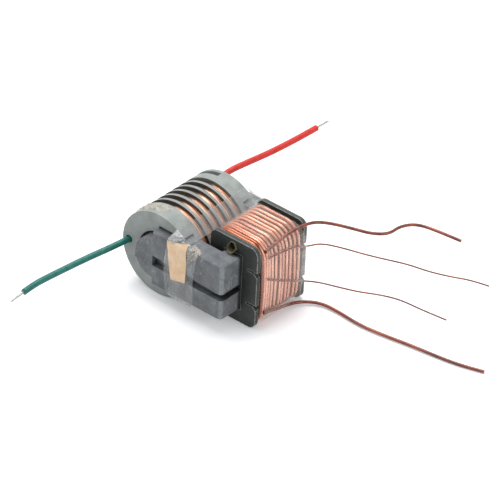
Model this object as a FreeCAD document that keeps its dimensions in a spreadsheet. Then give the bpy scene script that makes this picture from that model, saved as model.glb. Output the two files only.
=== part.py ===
import FreeCAD, Part
import math
import os
import re
import Sketcher
from FreeCAD import Placement, Rotation, Vector

# High voltage generator: a ferrite core of two U halves carries a slotted secondary
# bobbin on its round leg and a heavy-wire primary bobbin on its square leg.
# Millimetres. Every piece is drawn about the axis of the round leg, with Y = 0 on the
# front face of the secondary bobbin, and then set down so that the shared origin is the
# centre of the underside: +X secondary to primary, +Y front to back, +Z up.

SIZES = [
    # Secondary bobbin
    ("flange_radius", 12.0), ("end_flange_web", 1.9), ("slot_count", 6),
    ("slot_width", 1.82), ("fin_width", 0.9), ("coil_inset", 1.3), ("coil_build", 3.3),
    ("hub_wall", 1.3), ("leg_clearance", 0.3), ("nose_clearance", 0.7), ("channel_clearance", 0.7),
    ("channel_floor_gap", 0.1), ("rim_wall", 1.1), ("rim_groove_width", 1.5),
    ("rim_groove_depth", 3.2), ("rim_groove_start", 5.0), ("rim_groove_sweep", 92.0),
    ("lead_hole_radius", 1.05), ("lead_hole_inset", 2.1),
    ("sealant_sweep", 70.0), ("sealant_drop", 0.35), ("sealant_start", 10.0),
    # Ferrite core
    ("yoke_inset", 4.0), ("yoke_thickness", 5.6), ("yoke_proud", 2.3),
    ("square_leg_width", 5.2), ("core_edge_radius", 0.5), ("core_corner_radius", 1.2),
    ("clip_groove_height", 2.0), ("clip_groove_depth", 1.8), ("core_gap", 0.3),
    # Primary bobbin
    ("bobbin_gap", 0.7), ("primary_flange_width", 15.4),
    ("primary_flange_thickness", 1.25), ("flange_corner_radius", 2.2),
    ("flange_yoke_gap", 1.7), ("rear_flange_lap", 1.48), ("tube_wall", 1.0),
    ("tube_clearance", 0.2), ("tube_corner_radius", 1.2), ("inner_wall", 0.8),
    ("inner_wall_rim", 1.0), ("pocket_wall", 1.3), ("pocket_clearance", 0.3),
    ("slit_height", 0.5), ("slit_length", 3.2), ("slit_flare", 1.1), ("slit_spacing", 10.0),
    # Primary side windings
    ("feedback_build", 0.5), ("interlayer_thickness", 0.15), ("turn_count", 15),
    ("turn_depth", 0.3), ("turn_flat", 0.45), ("coil_end_gap", 0.1), ("coil_crown", 0.25),
    ("coil_foot_gap", 0.15), ("coil_bulge", 0.1), ("coil_corner_radius", 4.2),
    ("wrap_thickness", 0.1), ("wrap_gap", 0.03), ("wrap_lead_room", 1.05),
    ("wrap_corner_radius", 2.2), ("wrap_front", 3.1), ("wrap_rear_inset", 2.6),
    # Core tape, label and sleeve
    ("tape_thickness", 0.12), ("tape_gap", 0.03), ("tape_flat_gap", 0.15),
    ("tape_flat_width", 1.95), ("apron_left_step", 2.0), ("apron_right_step", 1.2),
    ("apron_lift", 0.4), ("label_step", 1.2), ("label_width", 6.6), ("label_rise", 0.4),
    ("label_height", 11.5), ("label_thickness", 0.1),
    ("sleeve_radius", 1.35), ("sleeve_bore", 1.2), ("sleeve_length", 1.6),
    ("sleeve_top_length", 0.2), ("sleeve_inset", 2.8), ("sleeve_lift", 0.5),
    # Leads
    ("jacket_diameter", 1.7), ("core_wire_diameter", 0.6), ("thick_wire_diameter", 0.87),
    ("thin_wire_diameter", 0.42), ("core_wire_length", 5.0),
]
SIZE_NAMES = {name for name, value in SIZES}

# Lengths and places that follow from the sizes, written as relations
DERIVED = {
    "yoke_back": "yoke_thickness - yoke_proud",
    "end_flange_width": "yoke_back + end_flange_web",
    "slot_pitch": "slot_width + fin_width",
    "secondary_length": "2 * end_flange_width + slot_count * slot_width"
                        " + (slot_count - 1) * fin_width",
    "coil_radius": "flange_radius - coil_inset",
    "hub_radius": "coil_radius - coil_build",
    "leg_radius": "hub_radius - hub_wall - leg_clearance",
    "lead_hole_offset": "flange_radius - lead_hole_inset",
    "mid_y": "secondary_length / 2",
    "rear_yoke_front": "secondary_length - yoke_back",
    "leg_length": "mid_y - core_gap / 2 - yoke_back",
    "half_height": "flange_radius - yoke_inset",
    "flange_left": "flange_radius + bobbin_gap",
    "flange_right": "flange_left + primary_flange_width",
    "square_leg_mid": "flange_left + primary_flange_width / 2",
    "square_leg_left": "square_leg_mid - square_leg_width / 2",
    "core_reach": "square_leg_mid + square_leg_width / 2",
    "primary_front": "yoke_back + flange_yoke_gap",
    "primary_rear": "rear_yoke_front + rear_flange_lap",
    "primary_length": "primary_rear - primary_front",
    "tube_end": "rear_yoke_front - tube_clearance",
    "sleeve_x": "core_reach - sleeve_inset",
    "sleeve_z": "half_height + sleeve_lift + sleeve_radius",
    "tube_left": "square_leg_left - tube_clearance - tube_wall",
    "tube_right": "core_reach + tube_clearance + tube_wall",
    "tube_top": "half_height + tube_clearance + tube_wall",
    "feedback_out": "feedback_build",
    "interlayer_out": "feedback_build + interlayer_thickness",
    "coil_front": "primary_front + primary_flange_thickness + coil_end_gap",
    "coil_rear": "tube_end - inner_wall - coil_end_gap",
    "coil_left": "flange_left - coil_bulge",
    "coil_right": "flange_right + coil_bulge",
    "coil_low": "coil_foot_gap - flange_radius",
    "coil_high": "flange_radius + coil_crown",
    "wrap_left": "coil_left - wrap_gap",
    "wrap_right": "coil_right + wrap_lead_room",
    "wrap_low": "coil_low - wrap_gap",
    "wrap_high": "coil_high + wrap_gap",
    "tape_out": "tape_gap + tape_thickness",
    "tape_left": "flange_radius / 2",
    "tape_bend": "sqrt((flange_radius + tape_gap)^2 - (half_height + tape_flat_gap)^2)",
    "tape_right": "tape_bend + tape_flat_width",
    "front_reach": "yoke_proud + tape_out + tape_gap + label_thickness",
    "rear_reach": "secondary_length + yoke_proud + tape_out",
    "origin_x": "(wrap_right + wrap_thickness - flange_radius) / 2",
    "origin_y": "(rear_reach - front_reach) / 2",
}


def ex(relation):
    """Write a relation between named sizes as references to the sheet."""
    while re.search(r"(?<![.\w])(%s)\b" % "|".join(DERIVED), relation):
        relation = re.sub(r"(?<![.\w])(%s)\b" % "|".join(DERIVED),
                          lambda found: "(" + DERIVED[found.group()] + ")", relation)
    return re.sub(r"(?<![.\w])[a-z_]+\b",
                  lambda found: "Sizes." + found.group()
                  if found.group() in SIZE_NAMES else found.group(), relation)


def value(relation):
    """The present value of a relation, in millimetres or degrees."""
    return float(sheet.evalExpression(ex(str(relation))))


def bind(thing, prop, relation):
    """Tie a property to a relation between named sizes."""
    thing.setExpression(prop, ex(str(relation)))


def seat(thing, turn=None, x="0", y="0", z="0"):
    """Set a piece down in the shared frame, moved by x, y and z within the drawing."""
    thing.Placement = Placement(Vector(0, 0, 0), turn or Rotation())
    bind(thing, "Placement.Base.x", x + " - origin_x")
    bind(thing, "Placement.Base.y", y + " - origin_y")
    bind(thing, "Placement.Base.z", z + " + flange_radius")
    return thing


def new_body(name):
    body = doc.addObject("PartDesign::Body", name)
    body.Label = name
    return seat(body)


def new_sketch(body, name, role, offset="0", lean=None):
    """A sketch on one of the body's own planes, moved along that plane's normal."""
    sketch = body.newObject("Sketcher::SketchObject", name)
    plane = [item for item in body.Origin.OriginFeatures if item.Role == role][0]
    sketch.AttachmentSupport = [(plane, "")]
    sketch.MapMode = "FlatFace"
    if lean:
        sketch.AttachmentOffset = Placement(Vector(0, 0, 0), Rotation(Vector(1, 0, 0), lean))
    bind(sketch, "AttachmentOffset.Base.z", offset)
    return sketch


def fix_point(sketch, geo, pos, x=None, y=None):
    """Hold one end of a line or arc at bound distances from the sketch origin."""
    for kind, relation in (("DistanceX", x), ("DistanceY", y)):
        if relation is None:
            continue
        number = sketch.addConstraint(
            Sketcher.Constraint(kind, -1, 1, geo, pos, value(relation)))
        bind(sketch, "Constraints[%d]" % number, relation)


def polygon(sketch, points):
    """A closed outline of straight lines through points given as pairs of relations."""
    at = [Vector(value(x), value(y), 0) for x, y in points]
    first = sketch.GeometryCount
    count = len(at)
    for i in range(count):
        sketch.addGeometry(Part.LineSegment(at[i], at[(i + 1) % count]))
    for i in range(count):
        following = first + (i + 1) % count
        sketch.addConstraint(Sketcher.Constraint("Coincident", first + i, 2, following, 1))
    for i, (x, y) in enumerate(points):
        fix_point(sketch, first + i, 1, x, y)


def rectangle(sketch, left, right, low, high):
    polygon(sketch, [(left, low), (right, low), (right, high), (left, high)])


def rounded(sketch, left, right, low, high, radius):
    """A rectangle with four equal round corners."""
    x0, x1, y0, y1, r = [value(item) for item in (left, right, low, high, radius)]
    first = sketch.GeometryCount
    runs = [((x0 + r, y0), (x1 - r, y0)), ((x1, y0 + r), (x1, y1 - r)),
            ((x1 - r, y1), (x0 + r, y1)), ((x0, y1 - r), (x0, y0 + r))]
    centres = [(x1 - r, y0 + r), (x1 - r, y1 - r), (x0 + r, y1 - r), (x0 + r, y0 + r)]
    for i in range(4):
        start, end = runs[i]
        sketch.addGeometry(Part.LineSegment(Vector(*start, 0), Vector(*end, 0)))
        circle = Part.Circle(Vector(*centres[i], 0), Vector(0, 0, 1), r)
        begin = math.radians(-90 + 90 * i)
        sketch.addGeometry(Part.ArcOfCircle(circle, begin, begin + math.pi / 2))
    for i in range(4):
        line, arc, following = first + 2 * i, first + 2 * i + 1, first + (2 * i + 2) % 8
        sketch.addConstraint(Sketcher.Constraint("Tangent", line, 2, arc, 1))
        sketch.addConstraint(Sketcher.Constraint("Tangent", arc, 2, following, 1))
        sketch.addConstraint(
            Sketcher.Constraint("Vertical" if i % 2 else "Horizontal", line))
        if i:
            sketch.addConstraint(Sketcher.Constraint("Equal", first + 1, arc))
    number = sketch.addConstraint(Sketcher.Constraint("Radius", first + 1, r))
    bind(sketch, "Constraints[%d]" % number, radius)
    fix_point(sketch, first, 1, y=low)
    fix_point(sketch, first + 2, 1, x=right)
    fix_point(sketch, first + 4, 1, y=high)
    fix_point(sketch, first + 6, 1, x=left)


def circle(sketch, radius, x="0", y="0"):
    place = Vector(value(x), value(y), 0)
    geo = sketch.addGeometry(Part.Circle(place, Vector(0, 0, 1), value(radius)))
    number = sketch.addConstraint(Sketcher.Constraint("Radius", geo, value(radius)))
    bind(sketch, "Constraints[%d]" % number, radius)
    if x == "0" and y == "0":
        sketch.addConstraint(Sketcher.Constraint("Coincident", geo, 3, -1, 1))
    else:
        fix_point(sketch, geo, 3, x, y)


def extrude(body, kind, sketch, length, backward=False, through=False):
    """A pad or pocket of a sketch, with its length tied to the sheet."""
    feature = body.newObject("PartDesign::" + kind, body.Name + "_" + kind)
    feature.Profile = sketch
    feature.Reversed = backward
    if through:
        feature.Type = "ThroughAll"
    else:
        bind(feature, "Length", length)
    doc.recompute()
    return feature


def turn_about(body, kind, sketch, axis, angle="360", backward=False):
    """A revolution or groove about an axis of its own sketch."""
    feature = body.newObject("PartDesign::" + kind, body.Name + "_" + kind)
    feature.Profile = sketch
    feature.ReferenceAxis = (sketch, [axis])
    feature.Reversed = backward
    bind(feature, "Angle", angle)
    doc.recompute()
    return feature


def round_edges(body, test, radius):
    """Round the edges of the body's tip whose two ends and middle pass a test."""
    base = body.Tip
    names = []
    for i, edge in enumerate(base.Shape.Edges, 1):
        middle = edge.valueAt((edge.FirstParameter + edge.LastParameter) / 2)
        if test([vertex.Point for vertex in edge.Vertexes] + [middle]):
            names.append("Edge%d" % i)
    feature = body.newObject("PartDesign::Fillet", body.Name + "_Round")
    feature.Base = (base, names)
    bind(feature, "Radius", radius)
    doc.recompute()
    return feature


def core_half(name, turned):
    """One U half: yoke with a round nose, round leg, square leg and clip groove."""
    body = new_body(name)
    if turned:
        body.Placement = Placement(Vector(0, 0, 0), Rotation(Vector(1, 0, 0), 180))
        bind(body, "Placement.Base.x", "-origin_x")
        bind(body, "Placement.Base.y", "secondary_length - origin_y")
        bind(body, "Placement.Base.z", "flange_radius")
    outline = new_sketch(body, name + "_yoke", "XZ_Plane", "yoke_proud")
    tall, reach, nose = value("half_height"), value("core_reach"), value("leg_radius")
    corners = [(0, nose), (0, tall), (reach, tall), (reach, -tall), (0, -tall), (0, -nose)]
    for i in range(5):
        outline.addGeometry(Part.LineSegment(Vector(*corners[i], 0),
                                             Vector(*corners[i + 1], 0)))
    outline.addGeometry(Part.ArcOfCircle(Part.Circle(Vector(0, 0, 0), Vector(0, 0, 1), nose),
                                         math.pi / 2, 3 * math.pi / 2))
    for i in range(4):
        outline.addConstraint(Sketcher.Constraint("Coincident", i, 2, i + 1, 1))
    outline.addConstraint(Sketcher.Constraint("Coincident", 4, 2, 5, 2))
    outline.addConstraint(Sketcher.Constraint("Coincident", 5, 1, 0, 1))
    outline.addConstraint(Sketcher.Constraint("Coincident", 5, 3, -1, 1))
    outline.addConstraint(Sketcher.Constraint("PointOnObject", 0, 1, -2))
    outline.addConstraint(Sketcher.Constraint("PointOnObject", 4, 2, -2))
    number = outline.addConstraint(Sketcher.Constraint("Radius", 5, nose))
    bind(outline, "Constraints[%d]" % number, "leg_radius")
    fix_point(outline, 1, 1, "0", "half_height")
    fix_point(outline, 2, 1, "core_reach", "half_height")
    fix_point(outline, 3, 1, "core_reach", "-half_height")
    fix_point(outline, 4, 1, "0", "-half_height")
    extrude(body, "Pad", outline, "yoke_thickness", backward=True)

    front, end, bend = -value("yoke_proud"), value("core_reach"), value("core_corner_radius")
    round_edges(body, lambda points: all(
        abs(point.y - front) < 0.01 and abs(point.x - end) < 0.01
        for point in points), "core_corner_radius")
    round_edges(body, lambda points: all(
        abs(abs(point.z) - tall) < 0.01 and point.x > -0.01
        and (abs(point.y - front) < 0.01 or abs(point.x - end) < 0.01
             or (point.x > end - bend - 0.01 and point.y < front + bend + 0.01))
        for point in points), "core_edge_radius")

    legs = new_sketch(body, name + "_round_leg", "XZ_Plane", "-yoke_back")
    circle(legs, "leg_radius")
    extrude(body, "Pad", legs, "leg_length", backward=True)
    legs = new_sketch(body, name + "_square_leg", "XZ_Plane", "-yoke_back")
    rounded(legs, "square_leg_left", "core_reach", "-half_height", "half_height",
            "core_edge_radius")
    extrude(body, "Pad", legs, "leg_length", backward=True)

    groove = new_sketch(body, name + "_front_groove", "XZ_Plane", "yoke_proud")
    rectangle(groove, "0", "core_reach + 1", "-clip_groove_height / 2",
              "clip_groove_height / 2")
    extrude(body, "Pocket", groove, "clip_groove_depth", backward=False)
    groove = new_sketch(body, name + "_end_groove", "YZ_Plane", "core_reach")
    rectangle(groove, "-yoke_proud - 1", "primary_front", "-clip_groove_height / 2",
              "clip_groove_height / 2")
    extrude(body, "Pocket", groove, "clip_groove_depth", backward=False)
    return body


def core_shims():
    """Spacers that set the air gap between the leg ends."""
    disc = doc.addObject("Part::Cylinder", "core_gap_shim_round")
    disc.Label = "core_gap_shim_round"
    bind(disc, "Radius", "leg_radius")
    bind(disc, "Height", "core_gap")
    seat(disc, Rotation(Vector(1, 0, 0), -90), y="mid_y - core_gap / 2")
    plate = doc.addObject("Part::Box", "core_gap_shim_square")
    plate.Label = "core_gap_shim_square"
    bind(plate, "Length", "square_leg_width - 2 * core_edge_radius")
    bind(plate, "Width", "core_gap")
    bind(plate, "Height", "2 * half_height - 2 * core_edge_radius")
    seat(plate, x="square_leg_left + core_edge_radius", y="mid_y - core_gap / 2",
         z="core_edge_radius - half_height")
    return [disc, plate]


def end_recess(body, label, rear):
    """Keyhole recess, rim groove and lead hole of one end flange."""
    into = "-secondary_length" if rear else "0"
    recess = new_sketch(body, label + "_channel", "XZ_Plane", into)
    rectangle(recess, "0", "flange_radius + 1", "-half_height - channel_clearance",
              "half_height + channel_clearance")
    extrude(body, "Pocket", recess, "yoke_back + channel_floor_gap", backward=rear)
    recess = new_sketch(body, label + "_nose", "XZ_Plane", into)
    circle(recess, "leg_radius + nose_clearance")
    extrude(body, "Pocket", recess, "yoke_back + channel_floor_gap", backward=rear)
    low = "secondary_length - rim_wall - rim_groove_width" if rear else "rim_wall"
    high = "secondary_length - rim_wall" if rear else "rim_wall + rim_groove_width"
    rim = new_sketch(body, label + "_rim", "YZ_Plane")
    rim.AttachmentOffset = Placement(Vector(0, 0, 0),
                                     Rotation(Vector(1, 0, 0), -value("rim_groove_start")))
    rectangle(rim, low, high, "flange_radius - rim_groove_depth", "flange_radius + 1")
    turn_about(body, "Groove", rim, "H_Axis", "rim_groove_sweep", backward=True)
    hole = new_sketch(body, label + "_hole", "XZ_Plane", into)
    circle(hole, "lead_hole_radius", "-lead_hole_offset", "0")
    extrude(body, "Pocket", hole, "rim_wall + rim_groove_width", backward=rear)


def secondary_bobbin():
    """Turned bobbin with its winding slots, keyed at both ends to the yokes."""
    body = new_body("secondary_bobbin")
    barrel = new_sketch(body, "barrel", "XY_Plane")
    rectangle(barrel, "leg_radius + leg_clearance", "flange_radius", "0",
              "secondary_length")
    turn_about(body, "Revolution", barrel, "V_Axis")
    slot = new_sketch(body, "slot", "XY_Plane")
    rectangle(slot, "hub_radius", "flange_radius + 1", "end_flange_width",
              "end_flange_width + slot_width")
    groove = turn_about(body, "Groove", slot, "V_Axis")
    pattern = body.newObject("PartDesign::LinearPattern", "slots")
    pattern.Originals = [groove]
    pattern.Direction = (slot, ["V_Axis"])
    bind(pattern, "Length", "(slot_count - 1) * slot_pitch")
    bind(pattern, "Occurrences", "slot_count")
    body.Tip = pattern
    doc.recompute()
    end_recess(body, "front", False)
    end_recess(body, "rear", True)
    return body


def secondary_winding(index):
    """The fine wire that fills one slot."""
    body = new_body("secondary_winding_%d" % index)
    section = new_sketch(body, "coil_section_%d" % index, "XY_Plane")
    low = "end_flange_width + %d * slot_pitch" % (index - 1)
    rectangle(section, "hub_radius", "coil_radius", low, low + " + slot_width")
    turn_about(body, "Revolution", section, "V_Axis")
    return body


def sealant():
    """Filler set in the front rim groove, short of the lead hole."""
    body = new_body("front_joint_sealant")
    section = new_sketch(body, "sealant_section", "YZ_Plane")
    section.AttachmentOffset = Placement(
        Vector(0, 0, 0), Rotation(Vector(1, 0, 0), -value("sealant_start")))
    rectangle(section, "rim_wall", "rim_wall + rim_groove_width",
              "flange_radius - rim_groove_depth", "flange_radius - sealant_drop")
    turn_about(body, "Revolution", section, "H_Axis", "sealant_sweep", backward=True)
    return body


def primary_bobbin():
    """Square tube with a plain front flange and a rear flange pocketed for the yoke."""
    body = new_body("primary_bobbin")
    tube = new_sketch(body, "tube", "XZ_Plane", "-primary_front")
    rounded(tube, "tube_left", "tube_right", "-tube_top", "tube_top", "tube_corner_radius")
    extrude(body, "Pad", tube, "tube_end - primary_front", backward=True)
    flange = new_sketch(body, "front_flange", "XZ_Plane", "-primary_front")
    rounded(flange, "flange_left", "flange_right", "-flange_radius", "flange_radius",
            "flange_corner_radius")
    extrude(body, "Pad", flange, "primary_flange_thickness", backward=True)
    inner = new_sketch(body, "inner_wall", "XZ_Plane", "inner_wall - tube_end")
    rounded(inner, "tube_left - inner_wall_rim", "tube_right + inner_wall_rim",
            "-tube_top - inner_wall_rim", "tube_top + inner_wall_rim",
            "tube_corner_radius")
    extrude(body, "Pad", inner, "inner_wall", backward=True)
    collar = new_sketch(body, "yoke_collar", "XZ_Plane", "-tube_end")
    rectangle(collar, "tube_left - inner_wall_rim",
              "core_reach + pocket_clearance + pocket_wall",
              "-half_height - pocket_clearance - pocket_wall",
              "half_height + pocket_clearance + pocket_wall")
    extrude(body, "Pad", collar, "primary_rear - tube_end", backward=True)
    flange = new_sketch(body, "rear_flange", "XZ_Plane",
                        "primary_flange_thickness - primary_rear")
    rounded(flange, "flange_left", "flange_right", "-flange_radius", "flange_radius",
            "flange_corner_radius")
    extrude(body, "Pad", flange, "primary_flange_thickness", backward=True)

    pocket = new_sketch(body, "yoke_pocket", "XZ_Plane", "-primary_rear")
    rectangle(pocket, "flange_left - 1", "core_reach + pocket_clearance",
              "-half_height - pocket_clearance", "half_height + pocket_clearance")
    extrude(body, "Pocket", pocket, "primary_rear - tube_end", backward=True)
    bore = new_sketch(body, "leg_bore", "XZ_Plane", "-primary_front")
    rectangle(bore, "square_leg_left - tube_clearance", "core_reach + tube_clearance",
              "-half_height - tube_clearance", "half_height + tube_clearance")
    extrude(body, "Pocket", bore, "primary_length", backward=False)

    slits = new_sketch(body, "slits", "XZ_Plane", "-primary_front")
    inner, mouth = "flange_right - slit_length", "flange_right - slit_flare"
    for side in ("", "-"):
        low = side + "slit_spacing / 2 - slit_height / 2"
        high = side + "slit_spacing / 2 + slit_height / 2"
        polygon(slits, [(inner, low), (mouth, low), ("flange_right", low + " - slit_flare"),
                        ("flange_right + 1", low + " - slit_flare"),
                        ("flange_right + 1", high), (inner, high)])
    extrude(body, "Pocket", slits, "primary_length", backward=False)
    hole = new_sketch(body, "sleeve_hole", "XZ_Plane", "-primary_front")
    circle(hole, "sleeve_bore", "sleeve_x", "sleeve_z")
    extrude(body, "Pocket", hole, "primary_flange_thickness", backward=False)
    return body


def ring(name, inner, outer, low, high):
    """A layer wound round the square tube, between two rounded outlines."""
    body = new_body(name)
    section = new_sketch(body, name + "_section", "XZ_Plane", "-(" + low + ")")
    rounded(section, *outer)
    rounded(section, *inner)
    extrude(body, "Pad", section, "(" + high + ") - (" + low + ")", backward=True)
    return body


def about_tube(out):
    """The tube's outline grown by one relation on every side."""
    return ("tube_left - (%s)" % out, "tube_right + (%s)" % out,
            "-tube_top - (%s)" % out, "tube_top + (%s)" % out,
            "tube_corner_radius + (%s)" % out)


def coil_outline(drop):
    """The outline over the heavy turns, lowered by a drop into the valleys between them."""
    return ("coil_left + (%s)" % drop, "coil_right - (%s)" % drop, "coil_low + (%s)" % drop,
            "coil_high - (%s)" % drop, "coil_corner_radius - (%s)" % drop)


def wrap_outline(out):
    """The outline of the tape over the heavy turns, with room for the leads at the right."""
    return ("wrap_left - (%s)" % out, "wrap_right + (%s)" % out, "wrap_low - (%s)" % out,
            "wrap_high + (%s)" % out, "wrap_corner_radius + (%s)" % out)


def outline_wire(outline, y):
    """A rounded rectangle as a wire across the winding at one Y."""
    x0, x1, z0, z1, r = [value(item) for item in outline]
    s = r * (1 - math.sqrt(0.5))
    edges = []
    corners = [(x1 - r, z0, x1, z0 + r, x1 - s, z0 + s), (x1, z1 - r, x1 - r, z1, x1 - s, z1 - s),
               (x0 + r, z1, x0, z1 - r, x0 + s, z1 - s), (x0, z0 + r, x0 + r, z0, x0 + s, z0 + s)]
    previous = Vector(x0 + r, y, z0)
    for ax, az, bx, bz, mx, mz in corners:
        start, end = Vector(ax, y, az), Vector(bx, y, bz)
        edges.append(Part.LineSegment(previous, start).toShape())
        edges.append(Part.Arc(start, Vector(mx, y, mz), end).toShape())
        previous = end
    return Part.Wire(edges)


def primary_winding():
    """Heavy turns side by side: one solid whose surface rises over each turn."""
    low, high = value("coil_front"), value("coil_rear")
    count = int(value("turn_count"))
    pitch = (high - low) / count
    flat = min(value("turn_flat"), 0.9 * pitch)
    wires = [outline_wire(coil_outline("turn_depth"), low)]
    for i in range(count):
        start = low + i * pitch
        wires.append(outline_wire(coil_outline("0"), start + (pitch - flat) / 2))
        wires.append(outline_wire(coil_outline("0"), start + (pitch + flat) / 2))
        wires.append(outline_wire(coil_outline("turn_depth"), start + pitch))
    solid = Part.makeLoft(wires, True, True)
    hollow = Part.Face(outline_wire(about_tube("interlayer_out"), low))
    solid = solid.cut(hollow.extrude(Vector(0, high - low, 0)))
    coil = doc.addObject("Part::Feature", "primary_winding")
    coil.Shape = solid.Solids[0]
    coil.Label = "primary_winding"
    return seat(coil)


def make_box(name, left, right, front, rear, low, high):
    box = doc.addObject("Part::Box", name)
    box.Label = name
    for prop, a, b in (("Length", left, right), ("Width", front, rear), ("Height", low, high)):
        bind(box, prop, "(%s) - (%s)" % (b, a))
    return seat(box, x=left, y=front, z=low)


def core_tape():
    """Clear tape drawn once round the core, over the rims of the secondary bobbin."""
    front, rear = "-yoke_proud - tape_out", "rear_reach"
    start, end = "-tape_out", "secondary_length + tape_out"

    def drum(name, radius, near, far):
        thing = doc.addObject("Part::Cylinder", name)
        bind(thing, "Radius", radius)
        bind(thing, "Height", "(%s) - (%s)" % (far, near))
        return seat(thing, Rotation(Vector(1, 0, 0), -90), y=near)

    shell = doc.addObject("Part::Cut", "tape_shell")
    shell.Base = drum("tape_outer", "flange_radius + tape_out", start, end)
    shell.Tool = drum("tape_inner", "flange_radius + tape_gap", start, end)
    skin = doc.addObject("Part::MultiFuse", "tape_skin")
    skin.Shapes = [shell, drum("tape_riser_front", "flange_radius + tape_out", start,
                               "tape_thickness - tape_out"),
                   drum("tape_riser_rear", "flange_radius + tape_out",
                        end + " - tape_thickness", end)]
    flat_low = "half_height + tape_flat_gap"
    flat_high = flat_low + " + tape_thickness"
    parts = []
    for side, name in ((1, "upper"), (-1, "lower")):
        window = make_box("tape_window_" + name, "tape_left", "tape_right + flange_radius",
                          start, end,
                          flat_low if side > 0 else "-flange_radius - 1",
                          "flange_radius + 1" if side > 0 else "-(%s)" % flat_low)
        strip = doc.addObject("Part::Common", "tape_strip_" + name)
        strip.Base, strip.Tool = skin, window
        low = flat_low if side > 0 else "-(%s)" % flat_high
        high = flat_high if side > 0 else "-(%s)" % flat_low
        parts += [strip, make_box("tape_flat_" + name, "tape_bend", "tape_right", front, rear,
                                  low, high)]
        for place, near, far in (("front", front, "tape_thickness - tape_out"),
                                 ("rear", end + " - tape_thickness", rear)):
            parts.append(make_box("tape_shelf_%s_%s" % (name, place), "tape_left",
                                  "tape_right", near, far, low, high))
    for name, y in (("front", front), ("rear", rear + " - tape_thickness")):
        parts.append(make_box("tape_plate_" + name, "tape_left", "tape_right", y,
                              "(%s) + tape_thickness" % y, "-(%s)" % flat_high, flat_high))
    parts.append(make_box("tape_apron", "tape_left - apron_left_step",
                          "tape_right + apron_right_step", front,
                          "(%s) + tape_thickness" % front, "apron_lift - half_height",
                          "half_height"))
    band = doc.addObject("Part::MultiFuse", "core_tape_band")
    band.Label = "core_tape_band"
    band.Shapes = parts
    return band


def paper_label():
    top = "half_height + label_rise"
    return make_box("paper_label", "tape_left - label_step",
                    "tape_left - label_step + label_width", "-front_reach",
                    "label_thickness - front_reach", top + " - label_height", top)


def insulating_sleeve():
    """Short end of thin-walled sleeving that stands out from its hole in the flange."""
    body = new_body("insulating_sleeve")
    section = new_sketch(body, "sleeve_section", "XZ_Plane", "sleeve_length - primary_front")
    for radius in ("sleeve_radius", "sleeve_bore"):
        circle(section, radius, "sleeve_x", "sleeve_z")
    extrude(body, "Pad", section, "sleeve_length", backward=True)
    cut = new_sketch(body, "sleeve_cut", "YZ_Plane", "sleeve_x + sleeve_radius + 1")
    tip, lip = "primary_front - sleeve_length", "primary_front - sleeve_top_length"
    foot, crown = "sleeve_z - sleeve_radius", "sleeve_z + sleeve_radius"
    polygon(cut, [(tip, foot), (lip, crown), (lip, crown + " + 1"), (tip + " - 1", crown + " + 1"),
                  (tip + " - 1", foot)])
    extrude(body, "Pocket", cut, "2 * sleeve_radius + 2", backward=False)
    return body


# Routes of the leads, as points in the drawing frame. The first point of each is where
# the lead leaves its hole or its turn, and the last is its cut end.
ROUTES = {
    "green_lead_jacket": [(-9.7, 1.9, 0.0), (-10.77, -4.4, -0.4), (-12.5, -12.6, -0.75),
                          (-13.4, -19.1, -0.9), (-14.2, -25.3, -1.0), (-14.6, -30.0, -1.05),
                          (-14.3, -33.8, -1.1)],
    "red_lead_jacket": [(-9.9, 23.9, 0.0), (-9.95, 29.7, 0.4), (-9.14, 36.5, 2.8),
                        (-8.42, 42.2, 2.8), (-7.24, 50.7, 2.6), (-6.73, 56.8, 2.5),
                        (-6.44, 63.2, 2.3), (-6.5, 69.4, 2.0)],
    "thick_lead_upper": [(28.05, 7.9, 10.35), (27.75, 13.0, 10.82), (27.75, 18.0, 11.3),
                         (28.65, 22.2, 11.75), (29.6, 25.9, 11.2), (32.6, 28.6, 10.7),
                         (36.8, 31.0, 10.1), (41.4, 33.3, 9.5), (44.2, 36.7, 9.1),
                         (43.7, 41.7, 8.7), (45.9, 46.0, 8.3), (51.8, 47.7, 7.8),
                         (57.6, 49.0, 7.2)],
    "thin_lead_upper": [(28.5, 8.5, 8.5), (28.5, 13.9, 7.9), (28.5, 19.0, 6.75),
                        (28.75, 23.2, 4.6), (30.2, 27.2, 4.3), (34.8, 29.6, 4.0),
                        (40.4, 31.8, 3.6), (45.2, 34.0, 3.3), (50.6, 36.8, 2.9),
                        (56.3, 38.5, 2.5), (61.7, 41.1, 2.2), (65.6, 43.6, 1.9),
                        (70.0, 45.1, 1.5)],
    "thin_lead_lower": [(28.5, 8.2, 2.3), (28.5, 12.9, -0.4), (28.5, 18.1, -3.4),
                        (28.8, 22.6, -5.6), (31.8, 24.9, -5.7), (36.2, 26.8, -5.9),
                        (41.4, 29.2, -6.2), (46.0, 32.4, -6.5), (50.8, 34.6, -6.8),
                        (57.5, 35.4, -7.2), (63.9, 36.6, -7.5)],
    "thick_lead_lower": [(28.7, 7.4, -7.5), (28.6, 12.8, -9.2), (28.35, 18.6, -10.75),
                         (30.0, 22.2, -11.2), (33.6, 24.7, -11.3), (38.8, 24.9, -11.4),
                         (46.3, 24.2, -11.4), (53.5, 25.1, -11.4), (60.7, 26.4, -11.4),
                         (68.2, 27.4, -11.45), (75.2, 28.6, -11.5), (80.9, 30.6, -11.5)],
}


# Each lead keeps its place by the size that its exit depends on: X from the lead hole or
# from the side of the heavy coil, Z from the axis, the top or the underside.
ANCHORS = {
    "green_lead_jacket": ("9.9 - lead_hole_offset", "0"),
    "red_lead_jacket": ("9.9 - lead_hole_offset", "0"),
    "thick_lead_upper": ("coil_right - 28.2", "coil_high - 12.25"),
    "thin_lead_upper": ("coil_right - 28.2", "0"),
    "thin_lead_lower": ("coil_right - 28.2", "0"),
    "thick_lead_lower": ("coil_right - 28.2", "coil_low + 11.85"),
}


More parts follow.
